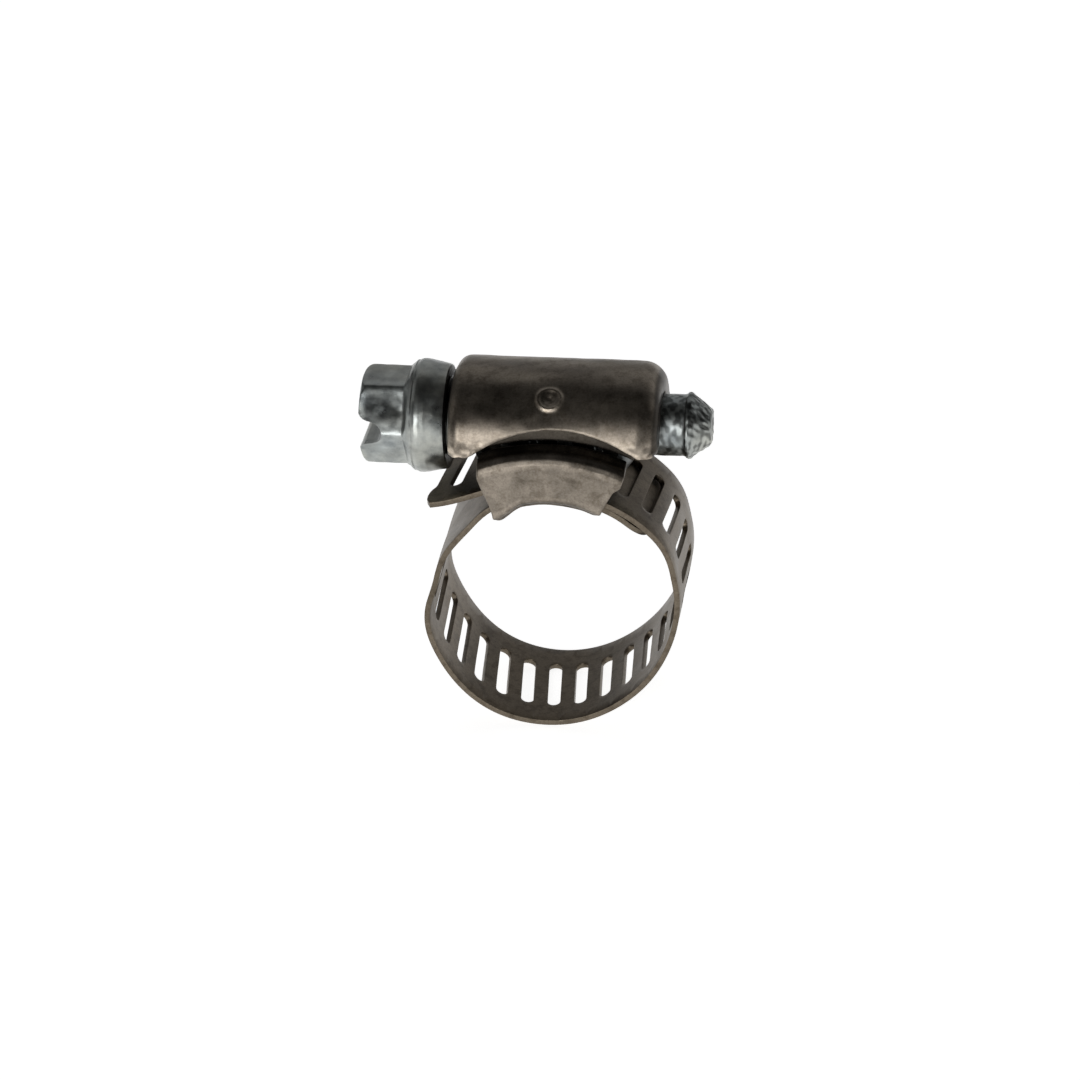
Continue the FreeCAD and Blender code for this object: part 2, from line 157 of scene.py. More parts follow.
def field_object(name, low, high, step, distance):
    """Surface where a distance function of x, y, z (millimetres) is zero."""
    axes = [np.arange(lo - 3 * step, hi + 3 * step, step) for lo, hi in zip(low, high)]
    x, y, z = np.meshgrid(*axes, indexing="ij", sparse=True)
    values = np.clip(distance(x, y, z), -4 * step, 4 * step).astype(np.float32)
    grid = vdb.FloatGrid(float(4 * step))
    grid.copyFromArray(np.ascontiguousarray(values))
    points, quads = grid.convertToQuads(0.0)
    points = points * step + np.array([axis[0] for axis in axes])
    return new_object(name, points, quads)


def mark_points(piece, name, value_at):
    """Float attribute worked out from every point's place in millimetres."""
    mesh = piece.data
    places = np.zeros(len(mesh.vertices) * 3)
    mesh.vertices.foreach_get("co", places)
    x, y, z = places.reshape(-1, 3).T / MM
    attribute = mesh.attributes.new(name, "FLOAT", "POINT")
    attribute.data.foreach_set("value", np.asarray(value_at(x, y, z), dtype=np.float32))


# ---------------------------------------------------------------- band


# angles go on past 360 where the strip passes over its own start
BAND_WIDTH, BAND_THICKNESS = 12.7, 0.5
SLOT_PITCH, SLOT_WIDTH, SLOT_LENGTH = 2.54, 1.2, 7.4
SLOT_SLANT = math.radians(5.77)
HALF_WIDTH = BAND_WIDTH / 2
TOP_SLOT_ANGLE, LOOP_SLOT_ANGLE = 454.9, 265.6
LINER_START, LINER_DIP, LOOP_TOP = 41.6, 108.0, 134.0
RISE_START, RISE_END = 378.0, 403.0
LIFT_ANGLE = 456.0
LINER_RADIUS, OUTER_RADIUS = 11.52, 12.07
# where the free end leaves the worm and where its tip is: X, Z and heading in degrees
TAIL_KNEE, TAIL_TIP = (-5.68, 12.13, 200.0), (-11.8, 10.5, 180.0)
FIRST_LOOP_SLOT = 160.0
LINER_CORNER = 2.6
SPLIT_GAP = 0.003
EDGE_ROUND = 0.08
BAND_WAVINESS, BAND_WAVE_SIZE = 0.035, 9.0
UV_UNIT = 25.4
# the loop's oval: mean radius, lift towards the worm, half the difference of its axes and the
# long axis's direction; then where it bulges or flattens, as (angle, spread, height)
OVAL_MEAN, OVAL_LIFT, OVAL_STRETCH, OVAL_AXIS = 11.18, 0.28, 0.61, 60
OVAL_BUMPS = [(150, 9, 0.14), (169, 7, -0.15), (187, 15, 0.35)]
# the liner's end stands a hair off the strip above it, from one angle down to the other
LINER_GAP, LINER_GAP_FULL, LINER_GAP_NONE = 0.15, 46, 62
# points across the strip: evenly along a slot's straight sides, then one by one to the edge
STRAIGHT_HALF, STRAIGHT_ROWS = 3.1, 9
OUTER_ROWS = (3.6, 4.2, 4.8, 5.4, 5.9, HALF_WIDTH)
# the free end is sheared through a slot: how far back the notch is, and for each outer row
# where its prong ends, along the strip and across it
NOTCH = -0.7
PRONG = ((-0.62, 3.45), (-0.45, 3.8), (-0.33, 4.3), (-0.3, 4.95), (-0.4, 5.65),
         (-0.8, HALF_WIDTH))


def ring_radius(angle):
    """Inner radius of the strip along its run: liner, loop, then up and over the liner."""
    turn = np.radians(angle)
    oval = (OVAL_MEAN + OVAL_LIFT * np.sin(turn)
            + OVAL_STRETCH * np.cos(2 * (turn - math.radians(OVAL_AXIS))))
    for centre, spread, height in OVAL_BUMPS:
        oval = oval + height * bell(angle, centre, spread)
    from_liner = smoothstep(angle, LINER_DIP, LOOP_TOP)
    to_outer = smoothstep(angle, RISE_START, RISE_END)
    radius = LINER_RADIUS + (oval - LINER_RADIUS) * from_liner
    radius = radius - LINER_GAP * (1 - smoothstep(angle, LINER_GAP_FULL, LINER_GAP_NONE))
    return radius + (OUTER_RADIUS - radius) * to_outer


def easing_curve(start, end, steps=60):
    """Hermite curve between two (x, z, heading) stations."""
    a, b = np.array(start[:2]), np.array(end[:2])
    reach = np.linalg.norm(b - a)
    headings = [math.radians(station[2]) for station in (start, end)]
    u, v = [reach * np.array([math.cos(h), math.sin(h)]) for h in headings]
    t = np.linspace(0, 1, steps + 1)[:, None]
    return (a * (2 * t ** 3 - 3 * t ** 2 + 1) + u * (t ** 3 - 2 * t ** 2 + t)
            + b * (3 * t ** 2 - 2 * t ** 3) + v * (t ** 3 - t ** 2))


class Path:
    """Middle line of the strip in the XZ plane, by distance along it."""

    def __init__(self):
        angles = np.arange(LINER_START, LIFT_ANGLE + 1e-6, 0.25)
        radii = ring_radius(angles) + BAND_THICKNESS / 2
        turn = np.radians(angles)
        ring = np.stack([radii * np.cos(turn), radii * np.sin(turn)], 1)
        leaving = (*ring[-1], math.degrees(turn[-1]) + 90 - 360)
        exit_run = easing_curve(leaving, TAIL_KNEE)
        tail = easing_curve(TAIL_KNEE, TAIL_TIP)
        self.points = np.concatenate([ring, exit_run[1:], tail[1:]])
        lengths = np.linalg.norm(np.diff(self.points, axis=0), axis=1)
        self.distance = np.concatenate([[0], np.cumsum(lengths)])
        self.angles = angles
        self.tangent = np.gradient(self.points, self.distance, axis=0)
        self.length = self.distance[-1]

    def at_angle(self, angle):
        return float(np.interp(angle, self.angles, self.distance[:len(self.angles)]))

    def place(self, s, y, offset):
        """Points in space; offset is measured outward from the middle of the thickness."""
        x = np.interp(s, self.distance, self.points[:, 0])
        z = np.interp(s, self.distance, self.points[:, 1])
        tx = np.interp(s, self.distance, self.tangent[:, 0])
        tz = np.interp(s, self.distance, self.tangent[:, 1])
        size = np.hypot(tx, tz)
        nx, nz = tz / size, -tx / size
        return np.stack([x + nx * offset, y, z + nz * offset], 1)


def band_rows():
    """Points along a cell's long sides: fine near the slot's ends."""
    straight = np.linspace(-STRAIGHT_HALF, STRAIGHT_HALF, STRAIGHT_ROWS)
    outer = np.array(OUTER_ROWS)
    return np.concatenate([-outer[::-1], straight, outer])


TOP_SHARES = (0.6, 0.2, -0.2, -0.6)


def cell_border(width):
    """Border of a slotted cell as (s, y) pairs about its centre, round from the lower right."""
    half = width / 2
    right = [(half, y) for y in band_rows()]
    top = [(u * half, HALF_WIDTH) for u in TOP_SHARES]
    return right + top + [(-u, -v) for u, v in right] + [(-u, -v) for u, v in top]


def slot_edge(border):
    """For each border point, its partner on the slot's rim."""
    radius = SLOT_WIDTH / 2
    half_run = SLOT_LENGTH / 2 - radius
    nearly = 1e-6
    count, sides = len(border), len(band_rows())
    corner = sides + len(TOP_SHARES)
    low = [i for i in range(sides) if border[i][1] < -half_run - nearly]
    high = [i for i in range(sides) if border[i][1] > half_run + nearly]
    rim = [None] * count
    for i in range(sides):
        if i not in low and i not in high:
            rim[i] = (radius, border[i][1])
    cap = high + list(range(sides, corner)) + [corner + i for i in low]
    for n, i in enumerate(cap, start=1):
        turn = math.pi * n / (len(cap) + 1)
        rim[i] = (radius * math.cos(turn), half_run + radius * math.sin(turn))
    # the other half is the same, turned by half a turn
    for i in range(count):
        if rim[i] is None:
            u, v = rim[(i + count // 2) % count]
            rim[i] = (-u, -v)
    cos, sin = math.cos(SLOT_SLANT), math.sin(SLOT_SLANT)
    return [(u * cos - v * sin, u * sin + v * cos) for u, v in rim]


# how far each ring of a cell's points is from the slot's rim to the cell's border
RINGS = (0.0, 0.16, 0.5, 1.0)
# and how far each row of the free end is from its start to the sheared edge
END_SHARES = (0.0, 0.35, 0.7, 0.9, 1.0)


class Strip:
    """Flat mesh of (s, y) points: slotted cells and plain land between them."""

    def __init__(self):
        self.index, self.points, self.faces, self.rims = {}, [], [], []

    def point(self, s, y):
        key = (round(s, 5), round(y, 5))
        if key not in self.index:
            self.index[key] = len(self.points)
            self.points.append((s, y))
        return self.index[key]

    def slotted_cell(self, centre, width):
        border = cell_border(width)
        rim = slot_edge(border)
        loops = []
        for share in RINGS:
            loops.append([self.point(centre + a + (c - a) * share, b + (d - b) * share)
                          for (a, b), (c, d) in zip(rim, border)])
        for inner, outer in zip(loops, loops[1:]):
            for i in range(len(inner)):
                j = (i + 1) % len(inner)
                self.faces.append((inner[i], outer[i], outer[j], inner[j]))
        self.rims.append(loops[0])

    def half_cell(self, centre, width):
        """The strip's free end: sheared off through a slot, its two prongs rounded."""
        rows = band_rows()
        prong = dict(zip(OUTER_ROWS, PRONG))
        start = centre - width / 2
        ends = []
        for y in rows:
            side = math.copysign(1, y)
            along, across = prong.get(abs(y), (NOTCH, abs(y)))
            ends.append((centre + along - side * across * math.tan(SLOT_SLANT), side * across))
        loops = []
        for share in END_SHARES:
            loops.append([self.point(start + (s - start) * share, y + (v - y) * share)
                          for y, (s, v) in zip(rows, ends)])
        for near, far in zip(loops, loops[1:]):
            for i in range(len(rows) - 1):
                self.faces.append((near[i], far[i], far[i + 1], near[i + 1]))

    def land(self, start, end, step=0.6, corner=0.0):
        """Plain strip; a corner radius rounds off the end it starts from."""
        rows = band_rows()
        count = max(1, math.ceil((end - start) / step))
        shares = np.linspace(0, 1, count + 1)
        if corner:
            shares = 1 - np.cos(shares * math.pi / 2)
        for a, b in zip(shares, shares[1:]):
            quad = []
            for share in (a, b):
                s = start + (end - start) * share
                cut = max(0.0, corner - (s - start))
                reach = HALF_WIDTH - corner + math.sqrt(max(0.0, corner ** 2 - cut ** 2))
                quad.append([self.point(s, y * reach / HALF_WIDTH) for y in rows])
            for i in range(len(rows) - 1):
                self.faces.append((quad[0][i], quad[1][i], quad[1][i + 1], quad[0][i + 1]))


def solid_strip(name, flat, path, seam_at):
    """Give the flat strip its thickness, bend it along the path and keep (s, y) as a UV map."""
    flat_points = np.array(flat.points)
    s, y = flat_points[:, 0], flat_points[:, 1]
    count = len(s)
    edges = {}
    for face in flat.faces:
        for a, b in zip(face, face[1:] + face[:1]):
            edges[(a, b)] = edges.get((a, b), 0) + 1
    rim = [(a, b) for a, b in edges if (b, a) not in edges]
    wobble = BAND_WAVINESS * waves(s, y, 0, BAND_WAVE_SIZE, 5)
    half = BAND_THICKNESS / 2
    points = np.concatenate([path.place(s, y, half + wobble), path.place(s, y, wobble - half)])
    faces = [tuple(f) for f in flat.faces]
    faces += [tuple(i + count for i in reversed(f)) for f in flat.faces]
    faces += [(b, a, a + count, b + count) for a, b in rim]
    piece = new_object(name, points, faces)
    uv = piece.data.uv_layers.new(name="Strip")
    corners = np.zeros(len(piece.data.loops), int)
    piece.data.loops.foreach_get("vertex_index", corners)
    corners %= count
    uv.data.foreach_set("uv", np.stack([s[corners], y[corners]], 1).ravel() / UV_UNIT)
    cut = path.place(np.array([seam_at]), np.array([0.0]), 0)[0]
    beyond = path.place(np.array([seam_at + 0.1]), np.array([0.0]), 0)[0]
    along = Vector(beyond - cut).normalized()
    add_bevel(piece, EDGE_ROUND, lambda point: abs((point - Vector(cut)).dot(along)) < 0.02)
    return piece


def make_band():
    path = Path()
    top, loop = path.at_angle(TOP_SLOT_ANGLE), path.at_angle(LOOP_SLOT_ANGLE)
    pitches = round((top - loop) / SLOT_PITCH)
    pitch = (top - loop) / pitches
    half = pitch / 2

    fixed = Strip()
    first = loop
    while first - SLOT_PITCH > path.at_angle(FIRST_LOOP_SLOT):
        first -= SLOT_PITCH
    fixed.land(0.0, LINER_CORNER + 1.0, step=0.25, corner=LINER_CORNER)
    fixed.land(LINER_CORNER + 1.0, first - SLOT_PITCH / 2)
    centre = first
    while centre < loop + SLOT_PITCH / 2:
        fixed.slotted_cell(centre, SLOT_PITCH)
        centre += SLOT_PITCH
    seam = centre - SLOT_PITCH / 2
    fixed_piece = solid_strip("band_fixed_run", fixed, path, seam)

    moving = Strip()
    start = seam + SPLIT_GAP
    centre = loop + pitch
    moving.land(start, centre - half, step=1.0)
    last = path.length - pitch
    while centre < last:
        moving.slotted_cell(centre, pitch)
        centre += pitch
    moving.half_cell(centre, pitch)
    moving_piece = solid_strip("band_free_run", moving, path, start)
    return fixed_piece, moving_piece


# ---------------------------------------------------------------- screw


HEAD_START, HEX_END = -17.4, -13.4
HEX_FLAT, HEX_ROUND = 3.9, 0.14
# the flats run out into the collar over this length, where they are this much further out
HEX_RUNOUT, HEX_RUNOUT_RISE = 1.3, 3.0
WORM_START, WORM_END = -7.9, 7.75
ROOT_RADIUS, CREST_RADIUS = 3.15, 4.2
# half widths of a tooth at its crest and at its foot
TOOTH_TOP, TOOTH_FOOT = 0.3, 0.72
SCREW_STEP, SCREW_SIDES = 0.09, 176
PLATING_DENTS = [(0.012, 1.6, 11), (0.02, 4.5, 12)]
TIP_DENTS = [(0.045, 0.9, 13)]
SLOT_CUT_LENGTH = 14.0


def screw_profile():
    """Outline of the turned blank as (x, radius) corners, with its rounds drawn in."""
    face = [(HEAD_START, r) for r in (0.02, 0.7, 1.4, 2.1, 2.7, 3.2, 3.5)]
    chamfer = [(HEAD_START + 0.62 * (1 - math.cos(t)), 3.7 + 0.72 * math.sin(t))
               for t in np.linspace(0.05, math.pi / 2, 9)]
    collar = [
        (HEX_END, 4.42), (-13.3, 4.52), (-13.05, 4.62), (-12.85, 4.82), (-12.65, 4.98),
        (-12.52, 4.95), (-12.42, 5.02), (-12.2, 5.1), (-11.9, 5.1), (-11.4, 5.04),
        (-10.6, 4.88), (-9.9, 4.72), (-9.72, 4.66), (-9.65, 4.5),
        (-9.64, 4.2), (-9.62, 3.6), (-9.4, 3.45), (-8.4, 3.45), (-8.0, 3.4), (-7.7, ROOT_RADIUS),
    ]
    tip = [
        (7.75, ROOT_RADIUS), (7.9, 3.1), (8.15, 2.85), (8.45, 2.76), (11.3, 2.74), (11.5, 2.8),
        (11.62, 2.92), (11.8, 2.96), (12.0, 2.88), (12.2, 2.72), (13.5, 1.78), (13.68, 1.62),
        (13.78, 1.45), (13.8, 1.25), (13.72, 1.0), (13.6, 0.6), (13.52, 0.02),
    ]
    return face + chamfer + collar + tip


def resample(profile, step):
    """Rows along the outline no further apart than step."""
    points = np.array(profile)
    rows = [points[0]]
    for a, b in zip(points, points[1:]):
        count = max(1, math.ceil(np.linalg.norm(b - a) / step))
        rows += [a + (b - a) * (i + 1) / count for i in range(count)]
    return np.array(rows)


def thread_height(x, turn, first_tooth):
    """Share of the tooth's height at a place on the worm; the tooth is a rounded trapezoid."""
    lead = first_tooth + SLOT_PITCH * (turn + math.pi / 2) / (2 * math.pi)
    off = np.abs((x - lead + SLOT_PITCH / 2) % SLOT_PITCH - SLOT_PITCH / 2)
    tooth = 1 - smoothstep(off, TOOTH_TOP, TOOTH_FOOT)
    fade = smoothstep(x, WORM_START + 0.3, WORM_START + 1.1)
    fade = fade * (1 - smoothstep(x, WORM_END - 1.65, WORM_END - 0.65))
    return tooth * fade


def cut_flats(x, turn, radius):
    """Radius of the blank with the hex head's flats cut; the corners point along Y."""
    sixth = math.radians(60)
    from_corner = (turn + sixth / 2) % sixth - sixth / 2
    flat_radius = HEX_FLAT / np.cos(sixth / 2 - np.abs(from_corner))
    runout = HEX_END + HEX_RUNOUT
    flat_radius = flat_radius + HEX_RUNOUT_RISE * smoothstep(x, HEX_END - 0.05, runout)
    turned = radius + 0 * flat_radius
    return np.where(x < runout, soft_min(flat_radius, turned, HEX_ROUND), turned)


def tube_faces(rows, around):
    """Quads round a tube of points and a cap at each end."""
    faces = []
    for i in range(rows - 1):
        for j in range(around):
            k = (j + 1) % around
            faces.append((i * around + j, (i + 1) * around + j,
                          (i + 1) * around + k, i * around + k))
    last = (rows - 1) * around
    return faces + [tuple(range(around)), tuple(last + j for j in reversed(range(around)))]


def make_screw():
    rows = resample(screw_profile(), SCREW_STEP)
    turn = np.linspace(0, 2 * math.pi, SCREW_SIDES, endpoint=False)
    x = rows[:, :1]
    r = cut_flats(x, turn[None, :], rows[:, 1:])
    first_tooth = (OUTER_RADIUS + BAND_THICKNESS / 2) * math.cos(math.radians(TOP_SLOT_ANGLE))
    on_worm = (x > WORM_START) & (x < WORM_END)
    tooth = thread_height(x, turn[None, :], first_tooth)
    r = r + np.where(on_worm, (CREST_RADIUS - ROOT_RADIUS) * tooth, 0)
    x = x + 0 * r
    y, z = r * np.cos(turn), r * np.sin(turn)
    rough = dents(x, y, z, PLATING_DENTS) + smoothstep(x, 11.2, 12.2) * dents(x, y, z, TIP_DENTS)
    # no roughness where the rows close in on the axis
    rough = rough * np.clip(r / 1.2, 0, 1)
    r = r + rough
    x = x + 0.5 * rough
    points = np.stack([x, r * np.cos(turn), AXIS_Z + r * np.sin(turn)], 2).reshape(-1, 3)
    piece = new_object("drive_screw", points, tube_faces(len(rows), SCREW_SIDES))
    cut_driver_slot(piece)
    mark_points(piece, "tone", screw_tone)
    return piece


def screw_tone(x, y, z):
    """Brightness: stained hex flats, painted shade on the near upper flat and inside the housing,
    patchy tip.
    """
    turn = np.degrees(np.arctan2(z - AXIS_Z, y))
    from_flat = np.abs(turn % 60 - 30)
    on_head = smoothstep(x, -17.2, -16.6) * (1 - smoothstep(x, -14.0, -13.5))
    on_flat = on_head * (1 - smoothstep(from_flat, 14, 23))
    # painted shade: the near upper flat is darkened most, on top of the random stains
    near_upper_painted_shade = bell(turn, 150, 25)
    cloud = smoothstep(waves(x, y, z, 2.4, 14), -1.3, -0.3)
    stain = on_flat * cloud * (0.15 + 0.6 * near_upper_painted_shade)
    patches = smoothstep(x, 8.9, 9.6) * smoothstep(waves(x, y, z, 0.8, 15), -0.6, 0.6)
    # painted shade: darker where the screw runs inside the housing
    painted_shade_in_housing = smoothstep(x, -9.75, -9.6) * (1 - smoothstep(x, 7.6, 8.6))
    return (1 - stain - 0.65 * patches) * (1 - 0.8 * painted_shade_in_housing)


def cut_driver_slot(piece):
    """Straight slot across the head along Y, with a flared mouth and a rounded root."""
    slot_half_widths = [(-1.0, 2.3), (0.0, 1.72), (0.2, 1.42), (0.45, 1.24), (0.8, 1.12),
                        (1.2, 1.05), (1.6, 0.9), (1.9, 0.68), (2.1, 0.4), (2.2, 0.12)]
    outline = [(HEAD_START + depth, half) for depth, half in slot_half_widths]
    outline += [(x, -z) for x, z in reversed(outline)]
    count = len(outline)
    ends = (-SLOT_CUT_LENGTH / 2, SLOT_CUT_LENGTH / 2)
    points = [(x, end, AXIS_Z + z) for end in ends for x, z in outline]
    faces = [(i, (i + 1) % count, (i + 1) % count + count, i + count) for i in range(count)]
    faces += [tuple(range(count)), tuple(reversed(range(count, 2 * count)))]
    cutter = new_object("slot_cutter", points, faces, smooth=False)
    cut = piece.modifiers.new("DriverSlot", "BOOLEAN")
    cut.operation, cut.object, cut.solver = "DIFFERENCE", cutter, "EXACT"
    depsgraph = bpy.context.evaluated_depsgraph_get()
    mesh = bpy.data.meshes.new_from_object(piece.evaluated_get(depsgraph))
    piece.modifiers.clear()
    piece.data = mesh
    bpy.data.objects.remove(cutter)
    smooth_by_angle(piece, 40)


def smooth_by_angle(piece, degrees):
    """Mark edges sharper than an angle so that shading breaks there."""
    mesh = piece.data
    mesh.polygons.foreach_set("use_smooth", [True] * len(mesh.polygons))
    mesh.set_sharp_from_angle(angle=math.radians(degrees))


# ---------------------------------------------------------------- housing


HOUSING_START, HOUSING_END = -9.2, 9.45
HEAD_END_ROUND, TIP_END_ROUND = 1.2, 1.9
HOUSING_HALF_WIDTH, HOUSING_RISE = 6.6, 5.3
BASE_AT_HEAD, BASE_AT_TIP = 15.5, 16.0
HOUSING_WALL, WALL_BLEND = 0.8, 0.12
ARCH_X, ARCH_Z, ARCH_RADIUS = 0.6, 6.0, 12.3
LEAD_HOLE, TIP_HOLE, HOLE_DEPTH = 4.35, 2.95, 3
# inner flanges: place across, half thickness, half length, how far they reach up behind the
# arch, and their lower edges' distance from the bore's axis
FLANGE_Y, FLANGE_HALF_THICKNESS, FLANGE_HALF_LENGTH = 4.7, 0.26, 6.7
FLANGE_OVERLAP, FLANGE_RADIUS = 0.8, 16.75
ARCH_EDGE, SHEET_EDGE, FLANGE_EDGE, FLANGE_TOP_EDGE = 0.22, 0.15, 0.12, 0.1
# stamped mark: centre and lean of the shoulder there, then its ring and its dimple as
# (radius, height, spread)
STAMP_PLACE, STAMP_LEAN = (-0.15, -4.12, 20.44), math.radians(33)
STAMP_RING, STAMP_DIMPLE = (1.02, 0.17, 0.2), (0.0, -0.34, 0.45)
HOUSING_DENTS = [(0.045, 6.5, 21), (0.014, 2.2, 22)]
# crumpled metal along the legs' lower edges, fading out upwards between two heights
CRUMPLE, CRUMPLE_FADE = [(0.11, 1.2, 23)], (0.3, 2.0)


def tunnel_distance(y, z):
    """Elliptical arch on straight legs."""
    up = z - AXIS_Z
    a, b = HOUSING_HALF_WIDTH, HOUSING_RISE
    inside = (y / a) ** 2 + (up / b) ** 2 - 1
    slope = 2 * np.sqrt((y / a ** 2) ** 2 + (up / b ** 2) ** 2) + 1e-6
    return np.where(up > 0, inside / slope, np.abs(y) - a)


def rounded_meet(a, b, radius):
    """Inside of both shapes, their common edge rounded to a radius."""
    inner = np.minimum(np.maximum(a + radius, b + radius), 0)
    outer = np.sqrt(np.maximum(a + radius, 0) ** 2 + np.maximum(b + radius, 0) ** 2)
    return inner + outer - radius


def base_height(x):
    """Height of the legs' lower edges, sloping up a little from head to tip."""
    share = (x - HOUSING_START) / (HOUSING_END - HOUSING_START)
    return BASE_AT_HEAD + (BASE_AT_TIP - BASE_AT_HEAD) * share


def stamp_radius(x, y, z):
    """Distance from the centre of the round stamped mark on the near shoulder."""
    mark_x, mark_y, mark_z = STAMP_PLACE
    along = (y - mark_y) * math.cos(STAMP_LEAN) + (z - mark_z) * math.sin(STAMP_LEAN)
    elsewhere = np.where((y < 0) & (z > AXIS_Z), 0.0, 9.0)
    return np.sqrt((x - mark_x) ** 2 + along ** 2) + elsewhere


def outer_skin(x, y, z):
    """Housing as if it were solid, with its dents and its stamped mark."""
    body = rounded_meet(tunnel_distance(y, z), HOUSING_START - x, HEAD_END_ROUND)
    body = rounded_meet(body, x - HOUSING_END, TIP_END_ROUND)
    body = body + dents(x, y, z, HOUSING_DENTS)
    low, high = CRUMPLE_FADE
    formed = 1 - smoothstep(z, BASE_AT_HEAD + low, BASE_AT_HEAD + high)
    body = body + formed * dents(x, y, z, CRUMPLE)
    rho = stamp_radius(x, y, z)
    for radius, height, spread in (STAMP_RING, STAMP_DIMPLE):
        body = body - height * bell(rho, radius, spread)
    return body


def flange_distance(x, y, z):
    """Inner flanges behind the arches, down to a circle that clears the band."""
    flange = np.abs(np.abs(y) - FLANGE_Y) - FLANGE_HALF_THICKNESS
    above_arch = np.sqrt((x - ARCH_X) ** 2 + (z - ARCH_Z) ** 2) - ARCH_RADIUS
    flange = soft_max(flange, above_arch - FLANGE_OVERLAP, FLANGE_TOP_EDGE)
    flange = soft_max(flange, FLANGE_RADIUS - np.sqrt(x ** 2 + z ** 2), FLANGE_EDGE)
    return soft_max(flange, np.abs(x - ARCH_X) - FLANGE_HALF_LENGTH, FLANGE_EDGE)


def housing_distance(x, y, z):
    body = outer_skin(x, y, z)
    shell = soft_max(body, -(body + HOUSING_WALL), WALL_BLEND)
    shell = soft_max(shell, base_height(x) - z, SHEET_EDGE)
    arch = ARCH_RADIUS - np.sqrt((x - ARCH_X) ** 2 + (z - ARCH_Z) ** 2)
    shell = soft_max(shell, arch, ARCH_EDGE)
    axial = np.sqrt(y ** 2 + (z - AXIS_Z) ** 2)
    lead_hole = np.maximum(axial - LEAD_HOLE, x - (HOUSING_START + HOLE_DEPTH))
    tip_hole = np.maximum(axial - TIP_HOLE, (HOUSING_END - HOLE_DEPTH) - x)
    for hole in (lead_hole, tip_hole):
        shell = soft_max(shell, -hole, SHEET_EDGE)
    return soft_min(shell, flange_distance(x, y, z), FLANGE_EDGE)


def housing_tone(x, y, z):
    """Brightness: painted shade inside the shell, painted highlight in patches on the formed lower
    edges.
    """
    # painted shade: darker inside the shell, where the walls and flanges lie in shadow
    painted_inner_shade = smoothstep(-tunnel_distance(y, z), 0.45, 0.8)
    base = base_height(x)
    # painted highlight: lighter in patches along the formed lower edges
    edge = (1 - smoothstep(z, base + 0.5, base + 2.1)) * (1 - painted_inner_shade)
    patches = smoothstep(waves(x, y, z, 1.3, 24), -0.3, 0.5)
    # streaks along the housing, painted shade in a band on the near shoulder, a worn stamped ring
    streaks = 1 + 0.22 * waves(0.3 * x, y, z, 2.4, 25)
    shoulder = 1 - 0.3 * bell(np.degrees(np.arctan2(z - AXIS_Z, -y)), 52, 14)
    ring = 1 + 0.9 * bell(stamp_radius(x, y, z), 1.1, 0.2)
    return (1 - 0.72 * painted_inner_shade) * (1 + 1.6 * edge * patches) * streaks * shoulder * ring


def make_housing():
    low, high = box_mm("housing")
    step = 0.1
    piece = field_object("worm_housing", low, high, step, housing_distance)
    mark_points(piece, "tone", housing_tone)
    return piece


# ---------------------------------------------------------------- saddle


SADDLE_THICKNESS = 0.5
# half of the bent sheet's section, from the floor's middle out, as (across, radius)
SADDLE_SECTION = [(0.0, 11.25), (6.1, 11.25), (6.7, 11.85), (6.74, 15.0), (6.68, 15.35),
                  (6.52, 15.68), (6.24, 15.98), (5.45, 16.45)]
# side outlines as (height, x) from the bottom up
SADDLE_LEFT = [(8.6, -4.9), (9.5, -5.05), (10.06, -5.15), (11.0, -5.4), (11.96, -5.8),
               (13.08, -6.25), (13.8, -6.45), (15.6, -6.45), (20.0, -6.45)]
SADDLE_RIGHT = [(9.4, 4.2), (10.17, 4.32), (10.87, 4.64), (11.81, 5.1), (12.8, 5.65),
                (13.26, 6.3), (14.31, 6.66), (15.9, 6.84), (20.0, 6.9)]
CORNER_RADIUS = 0.75
SECTION_BLEND, SIDE_EDGE, SADDLE_EDGE = 0.25, 0.1, 0.16
# the side outlines lean, which stretches distances from them by about this
SIDE_LEAN = 0.85
SADDLE_DENTS = [(0.04, 5.0, 31), (0.012, 1.8, 32)]
# how far each end of the floor turns down, as (side, drop, start, end)
FLARES = [(-1, 0.75, 2.4, 4.6), (1, 0.15, 2.6, 4.4)]


def segment_distance(u, v, a, b):
    """Distance from (u, v) to the straight piece between two points."""
    du, dv = b[0] - a[0], b[1] - a[1]
    t = np.clip(((u - a[0]) * du + (v - a[1]) * dv) / (du * du + dv * dv), 0, 1)
    return np.sqrt((u - a[0] - t * du) ** 2 + (v - a[1] - t * dv) ** 2)


def saddle_distance(x, y, z):
    """Bent sheet cut to its side outlines, its floor's ends turned down a little."""
    flare = sum(drop * smoothstep(side * x, start, end) for side, drop, start, end in FLARES)
    r = np.sqrt(x ** 2 + z ** 2)
    r = r + flare * (1 - smoothstep(r, 11.6, 13.2))
    across = np.abs(y)
    sheet = None
    for a, b in zip(SADDLE_SECTION, SADDLE_SECTION[1:]):
        part = segment_distance(across, r, a, b)
        sheet = part if sheet is None else soft_min(sheet, part, SECTION_BLEND)
    sheet = sheet + dents(x, y, z, SADDLE_DENTS) - SADDLE_THICKNESS / 2
    left = np.interp(z, *zip(*SADDLE_LEFT))
    right = np.interp(z, *zip(*SADDLE_RIGHT))
    side = soft_max(left - x, x - right, SIDE_EDGE) * SIDE_LEAN
    floor = SADDLE_SECTION[0][1] - SADDLE_THICKNESS / 2 - r
    return soft_max(sheet, rounded_meet(side, floor, CORNER_RADIUS), SADDLE_EDGE)


def saddle_tone(x, y, z):
    """Darker towards the wing tops, where they curl in under the housing: painted shade; random
    blotches too.
    """
    r = np.sqrt(x ** 2 + z ** 2)
    blotch = 0.18 * smoothstep(waves(x, y, z, 2.6, 34), -0.2, 0.8)
    # painted shade: darker from the bend up to the wing tops, under the housing
    return (1 - 0.7 * smoothstep(r, 15.2, 16.5)) * (1 - blotch)


